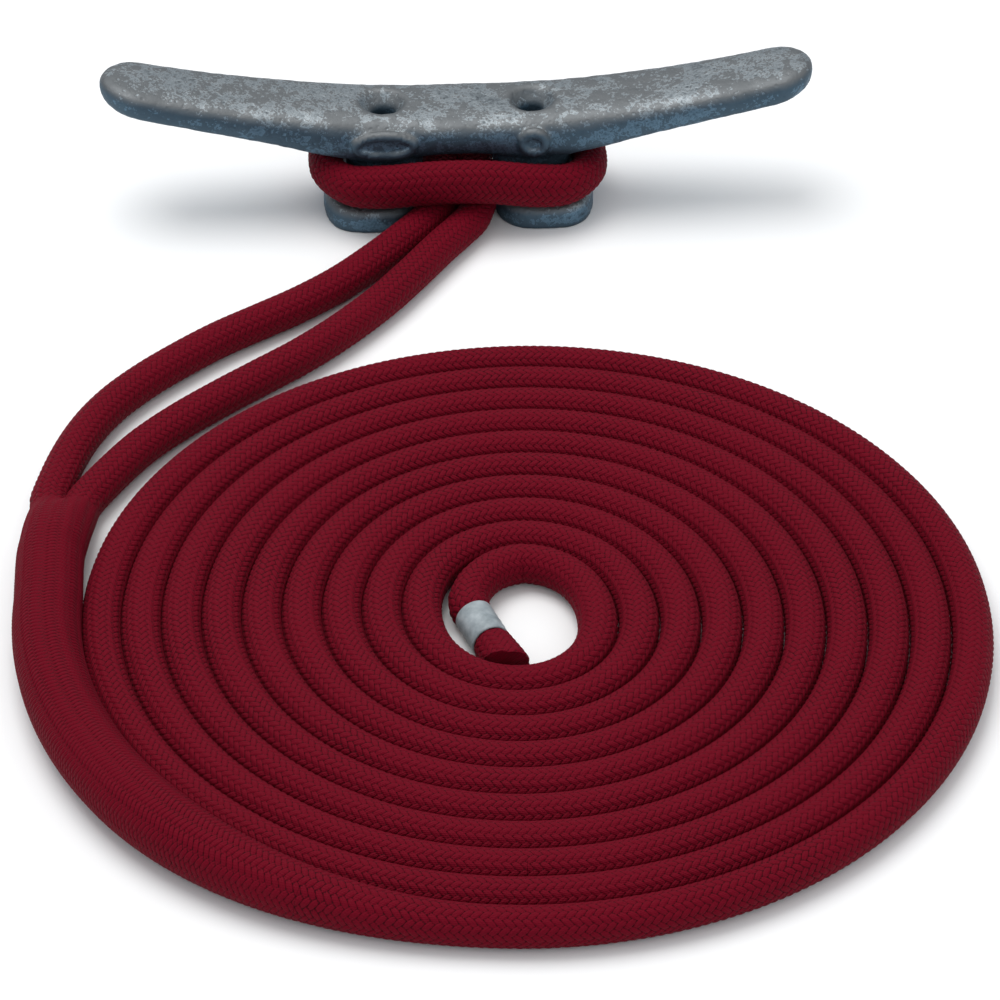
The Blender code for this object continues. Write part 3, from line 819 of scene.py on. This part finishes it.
def line_rings():
    """Ring centres and columns of the whole line, from the throat to the cut end."""
    rope = rope_settings()
    half = rope.diameter / 2
    spiral, columns = spiral_places()
    throat = [(x + CLEAT.x, y + CLEAT.y, radius, parted) for x, y, radius, parted in THROAT]
    onto = [(*spiral[i, :2], columns[0][i], 0.0) for i in (0, 6)]
    joined = smooth_path([*throat, *onto])[:-PATH_PIECES]
    tail = resting(TAIL_ROUTE, COIL, rope.diameter)
    end = SLEEVE_START + SLEEVE_LENGTH + TAIL_AFTER_SLEEVE
    straight = [tail[-1] + TAIL_ONWARD * end * share for share in (0.25, 0.5, 0.75, 1.0)]
    run_up = [spiral[-25], spiral[-13]]
    finish_run = smooth_path([*run_up, spiral[-1], *tail, *straight])
    finish_run = finish_run[len(run_up) * PATH_PIECES :]
    places = np.vstack([
        np.column_stack([joined[:, :2], joined[:, 2] + FLOOR_GAP]),
        spiral[1:-1],
        finish_run,
    ])
    run = len(finish_run)
    widths = np.concatenate([joined[:, 2], columns[0][1:-1], np.full(run, half)])
    flats = np.concatenate([np.ones(len(joined)), columns[1][1:-1], np.ones(run)])
    parted = np.concatenate([joined[:, 3], np.zeros(len(places) - len(joined))])
    travelled = lengths_along(places)
    left = travelled[-1] - travelled
    # The sleeve squeezes a neck. The cut end past it spreads, and its edge is melted round.
    sleeve_end = TAIL_AFTER_SLEEVE
    sleeve_start = sleeve_end + SLEEVE_LENGTH
    squeezed = smooth_step(left, sleeve_end - NECK_EASE, sleeve_end)
    squeezed = squeezed * (1 - smooth_step(left, sleeve_start, sleeve_start + NECK_EASE))
    spread = 1 - smooth_step(left, 0.0, sleeve_end)
    melted = np.clip(1 - left / END_ROUNDING, 0.0, 1.0)
    edge = END_ROUNDING * (1 - np.sqrt(1 - melted**2))
    widths = widths - SLEEVE_SQUEEZE * squeezed + END_SPREAD * spread - edge
    past_neck = left < sleeve_end
    places[past_neck, 2] = np.maximum(places[past_neck, 2], (widths + edge)[past_neck] + FLOOR_GAP)
    thickened = np.clip((widths + parted - half) / (rope.splice_swell / 2), 0.0, 1.0)
    thickened = thickened * (left > END_REACH)
    spacing = rope.repeat / rope.samples * (1 + (rope.bunching - 1) * thickened)
    return lay_rings(places, [widths, flats, parted], spacing)


def cut_against_turn(piece):
    """Cuts the bitter end on the skew, a little short of the innermost turn it lies against."""
    out = np.array([math.cos(CUT_FACING), math.sin(CUT_FACING), 0.0])
    middle = np.array([COIL.x + HOLE_SHIFT[0], COIL.y + HOLE_SHIFT[1], 0.0])
    count = len(piece.data.vertices)
    places = np.empty(3 * count)
    piece.data.vertices.foreach_get("co", places)
    places = places.reshape(count, 3)
    past = np.maximum((places - middle) @ out - CUT_DISTANCE, 0.0)
    rope = rope_settings()
    tail_rings = int(TAIL_AFTER_SLEEVE / rope.repeat * rope.samples)
    past[: count - tail_rings * rope.strands * rope.samples] = 0.0
    places -= np.outer(past / (TAIL_ONWARD @ out), TAIL_ONWARD)
    piece.data.vertices.foreach_set("co", places.ravel())
    piece.data.update()
    bm = bmesh.new()
    bm.from_mesh(piece.data)
    bmesh.ops.remove_doubles(bm, verts=bm.verts, dist=MERGED_WITHIN_CUT)
    bm.to_mesh(piece.data)
    bm.free()


class DOCKLINE_OT_coil(bpy.types.Operator):
    """Braids the splice, the coil and the bitter end as lengths of one line"""

    bl_idname = "dockline.coil"
    bl_label = "Splice and coil"

    def buried_tail(self, centres, columns):
        """The rope's own end, drawn up inside the splice, where it tapers away."""
        keep = slice(BURIED_TAIL_INSET, None)
        columns = [column[keep] for column in columns]
        columns[0] = columns[0] - rope_settings().core_diameter
        sizes = CORE_STRANDS, CORE_SAMPLES, 0.0
        tail = braided("buried_tail_braid", centres[keep], columns, 0, undyed_nylon(), *sizes)
        settle(tail, "rope_core", "buried_tail")

    def execute(self, context):
        centres, columns = line_rings()
        thick = np.nonzero(columns[0] > SPLICE_PIECE_WIDTH / 2)[0]
        splice_rings = int(thick[-1])
        count = math.ceil((len(centres) - splice_rings) / RINGS_IN_PIECE)
        self.buried_tail(centres[:splice_rings], [column[:splice_rings] for column in columns])
        marks = [0, *np.linspace(splice_rings, len(centres) - 1, count + 1).astype(int)]
        for number, (start, end) in enumerate(zip(marks, marks[1:])):
            part = slice(start, end + 1)
            name = f"coil_length_{number}" if number else "splice_braid"
            piece = rope_piece(name, centres[part], [column[part] for column in columns], start)
            settle(piece, "rope_cover")
            last = end == marks[-1]
            if number == 0:
                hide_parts("splice_cover")
            if number == 1:
                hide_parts("coiled_line")
            if last:
                cut_against_turn(piece)
                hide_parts("tail_cover")
        return {"FINISHED"}


# The hitch: how much taller the hauled rope across the front is and how far that reaches along
# it, how it rises to the left, and how much wider its legs are where they are nipped.
HAULED_SPREAD = 0.30
HAULED_REACH = (0.028, 0.060)
LEFT_RISE = 0.045
NIPPED_SPREAD = 0.07
NIPPED_LENGTH = (0.012, 0.020)
NIPPED_WIDTH = (0.009, 0.015)


class DOCKLINE_OT_eye(bpy.types.Operator):
    """Braids the eye, hitched round the cleat's feet"""

    bl_idname = "dockline.eye"
    bl_label = "Eye"

    def execute(self, context):
        rope = rope_settings()
        inmost = HITCH_HALF[0][0]
        left = [(-x, y, z + LEFT_RISE * (x - inmost)) for x, y, z in HITCH_HALF]
        right = list(reversed(HITCH_HALF))
        points = EYE_OUTER_LEG + left + [HITCH_FRONT] + right + EYE_INNER_LEG
        places = smooth_path(resting(points, CLEAT, rope.diameter))
        # The rope across the front is hauled against the feet, and spreads upwards.
        front = resting([HITCH_FRONT], CLEAT, rope.diameter)[0]
        travelled = lengths_along(places)
        nearest = np.argmin(np.linalg.norm(places - front, axis=1))
        hauled = 1 - smooth_step(np.abs(travelled - travelled[nearest]), *HAULED_REACH)
        # Between the feet both legs are nipped flat against each other.
        from_middle = np.abs(places - np.array(CLEAT))
        nipped = 1 - smooth_step(from_middle[:, 1], *NIPPED_LENGTH)
        nipped = nipped * (1 - smooth_step(from_middle[:, 0], *NIPPED_WIDTH))
        half_width = rope.diameter / 2 * (1 + NIPPED_SPREAD * nipped)
        flatness = (1 + HAULED_SPREAD * hauled) / (1 + NIPPED_SPREAD * nipped)
        centres, columns = lay_rings(
            places, [half_width, flatness, np.zeros(len(places))], rope.repeat / rope.samples
        )
        piece = rope_piece("eye_braid", centres, columns, 0)
        settle(piece, "rope_cover", "eye_cover")
        return {"FINISHED"}


class DOCKLINE_OT_bitter_end(bpy.types.Operator):
    """Makes the shrunk sleeve and the core's cut end"""

    bl_idname = "dockline.bitter_end"
    bl_label = "Bitter end"

    def execute(self, context):
        rope = rope_settings()
        start = Vector(resting(TAIL_ROUTE, COIL, rope.diameter)[-1])
        onward = Vector(TAIL_ONWARD)
        bore = rope.diameter / 2 - SLEEVE_SQUEEZE + rope.relief / 2
        wall = SLEEVE_WALL
        lip = wall / 2
        rows = [(bore, 0.0), (bore + wall - lip, 0.0), (bore + wall, lip)]
        # The braid shows through the wall as a faint ripple.
        for i in range(1, SLEEVE_STEPS):
            along = SLEEVE_LENGTH * i / SLEEVE_STEPS
            ripple = SLEEVE_RIPPLE * math.sin(2 * math.pi * along / rope.repeat)
            rows.append((bore + wall + ripple, along))
        rows += [
            (bore + wall, SLEEVE_LENGTH - lip),
            (bore + wall - lip, SLEEVE_LENGTH),
            (bore, SLEEVE_LENGTH),
        ]
        bm = bmesh.new()
        turn = onward.to_track_quat("Z", "Y")
        rings = []
        for radius, along in rows:
            ring = []
            for i in range(SLEEVE_SIDES):
                angle = 2 * math.pi * i / SLEEVE_SIDES
                spot = Vector((radius * math.cos(angle), radius * math.sin(angle), SLEEVE_START + along))
                ring.append(bm.verts.new(start + turn @ spot))
            rings.append(ring)
        for i, ring in enumerate(rings):
            after = rings[(i + 1) % len(rings)]
            for j in range(SLEEVE_SIDES):
                k = (j + 1) % SLEEVE_SIDES
                bm.faces.new((ring[j], ring[k], after[k], after[j]))
        sleeve = bmesh_object("shrunk_sleeve", bm, shrunk_polyolefin())
        settle(sleeve, "shrink_sleeve", "end_sleeve")

        end = SLEEVE_START + SLEEVE_LENGTH + TAIL_AFTER_SLEEVE - CORE_SHORTER
        places = np.array([start + onward * (end * share) for share in np.linspace(0, 1, 40)])
        half = np.full(len(places), rope.core_diameter / 2)
        columns = [half, np.ones(len(places)), np.zeros(len(places))]
        centres, columns = lay_rings(places, columns, rope.repeat / CORE_SAMPLES)
        sizes = CORE_STRANDS, CORE_SAMPLES, CORE_RELIEF
        core = braided("core_end", centres, columns, 0, undyed_nylon(), *sizes)
        settle(core, "rope_core", "tail_core")
        eye_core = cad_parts["eye_core"].data
        eye_core.materials.clear()
        eye_core.materials.append(undyed_nylon())
        return {"FINISHED"}


# ---- Cleat -------------------------------------------------------------------------------


# The bosses on the bar's front, and their rims.
LEG_SPACING = 0.0540
BOSS_WIDTH = 0.0230
BOSS_HEIGHT = 0.0105
BOSS_MIDDLE = 0.0335
BOSS_FACE = CLEAT.y - 0.0172
RIM_THICKNESS = 0.0010
RIM_SIDES = 40
RIM_SECTION = 8

# The casting's skin: passes that round its edges, the zinc coat that brings it back to size, and
# the spans in metres of its lumps and its sand grain, which is half as high.
SOFTENING = 5
ZINC_COAT = 0.0010
LUMP_SPAN = 0.014
SAND_SPAN = 0.0035
SAND_SHARE = 0.5


class DOCKLINE_OT_cleat(bpy.types.Operator):
    """Rounds and roughens the cleat's casting"""

    bl_idname = "dockline.cleat"
    bl_label = "Cleat"

    def raised_rim(self, bm, middle, half_width):
        """A plain raised rim round one of the bosses on the bar's front."""
        rings = []
        for i in range(RIM_SIDES):
            angle = 2 * math.pi * i / RIM_SIDES
            x = middle.x + (half_width - RIM_THICKNESS) * math.cos(angle)
            z = middle.z + (BOSS_HEIGHT / 2 - RIM_THICKNESS) * math.sin(angle)
            out = Vector((math.cos(angle), 0.0, math.sin(angle)))
            ring = []
            for j in range(RIM_SECTION):
                turn = 2 * math.pi * j / RIM_SECTION
                offset = out * (RIM_THICKNESS * math.cos(turn))
                offset += Vector((0.0, RIM_THICKNESS * math.sin(turn), 0.0))
                ring.append(bm.verts.new(Vector((x, BOSS_FACE, z)) + offset))
            rings.append(ring)
        for i, ring in enumerate(rings):
            after = rings[(i + 1) % RIM_SIDES]
            for j in range(RIM_SECTION):
                k = (j + 1) % RIM_SECTION
                bm.faces.new((ring[j], after[j], after[k], ring[k]))

    def execute(self, context):
        cleat = context.scene.dock_line_cleat
        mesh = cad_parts["dock_cleat"].data.copy()
        mesh.materials.clear()
        bm = bmesh.new()
        bm.from_mesh(mesh)
        bmesh.ops.remove_doubles(bm, verts=bm.verts, dist=1e-6)
        for side, half_width in ((-1, BOSS_WIDTH / 2), (1, BOSS_HEIGHT / 2)):
            middle = Vector((CLEAT.x + side * LEG_SPACING / 2, 0.0, BOSS_MIDDLE))
            self.raised_rim(bm, middle, half_width)
        bm.to_mesh(mesh)
        bm.free()
        source = new_object("cleat_source", mesh)
        skin = source.modifiers.new("skin", "REMESH")
        skin.mode = "VOXEL"
        skin.voxel_size = cleat.skin
        soften = source.modifiers.new("soften", "SMOOTH")
        soften.factor = 0.5
        soften.iterations = SOFTENING
        coat = source.modifiers.new("zinc coat", "DISPLACE")
        coat.strength = ZINC_COAT
        coat.mid_level = 0.0
        layers = (("lumps", LUMP_SPAN, cleat.lumps), ("sand", SAND_SPAN, cleat.lumps * SAND_SHARE))
        for name, size, height in layers:
            noise = bpy.data.textures.new(name, "CLOUDS")
            noise.noise_scale = size
            noise.noise_depth = 2
            roughen = source.modifiers.new(name, "DISPLACE")
            roughen.texture = noise
            roughen.texture_coords = "LOCAL"
            roughen.strength = height
            roughen.mid_level = 0.5
        casting = as_plain_mesh(source, "cleat_casting")
        # Its feet stay flat on the floor.
        for corner in casting.data.vertices:
            corner.co.z = max(corner.co.z, 0.0)
        casting.data.shade_smooth()
        casting.data.materials.append(galvanised_iron())
        settle(casting, "galvanised_iron", "dock_cleat")
        return {"FINISHED"}


class DOCKLINE_PT_panel(bpy.types.Panel):
    """Lists the dock line's sizes and pieces"""

    bl_idname = "DOCKLINE_PT_panel"
    bl_label = "Dock Line"
    bl_space_type = "VIEW_3D"
    bl_region_type = "UI"
    bl_category = "Dock Line"

    def draw(self, context):
        scene = context.scene
        for settings in (scene.dock_line_rope, scene.dock_line_cleat, scene.dock_line_stage):
            box = self.layout.box()
            for name in settings.__annotations__:
                box.prop(settings, name)
        for operator in OPERATORS:
            self.layout.operator(operator.bl_idname)


OPERATORS = (
    DOCKLINE_OT_stage,
    DOCKLINE_OT_coil,
    DOCKLINE_OT_eye,
    DOCKLINE_OT_bitter_end,
    DOCKLINE_OT_cleat,
)
CLASSES = (RopeSettings, CleatSettings, StageSettings, *OPERATORS, DOCKLINE_PT_panel)


def register():
    for made in CLASSES:
        bpy.utils.register_class(made)
    bpy.types.Scene.dock_line_rope = PointerProperty(type=RopeSettings)
    bpy.types.Scene.dock_line_cleat = PointerProperty(type=CleatSettings)
    bpy.types.Scene.dock_line_stage = PointerProperty(type=StageSettings)


def unregister():
    del bpy.types.Scene.dock_line_stage
    del bpy.types.Scene.dock_line_cleat
    del bpy.types.Scene.dock_line_rope
    for made in reversed(CLASSES):
        bpy.utils.unregister_class(made)


def main():
    register()
    bpy.ops.dockline.stage()
    bpy.ops.dockline.coil()
    bpy.ops.dockline.eye()
    bpy.ops.dockline.bitter_end()
    bpy.ops.dockline.cleat()


if __name__ == "__main__":
    main()
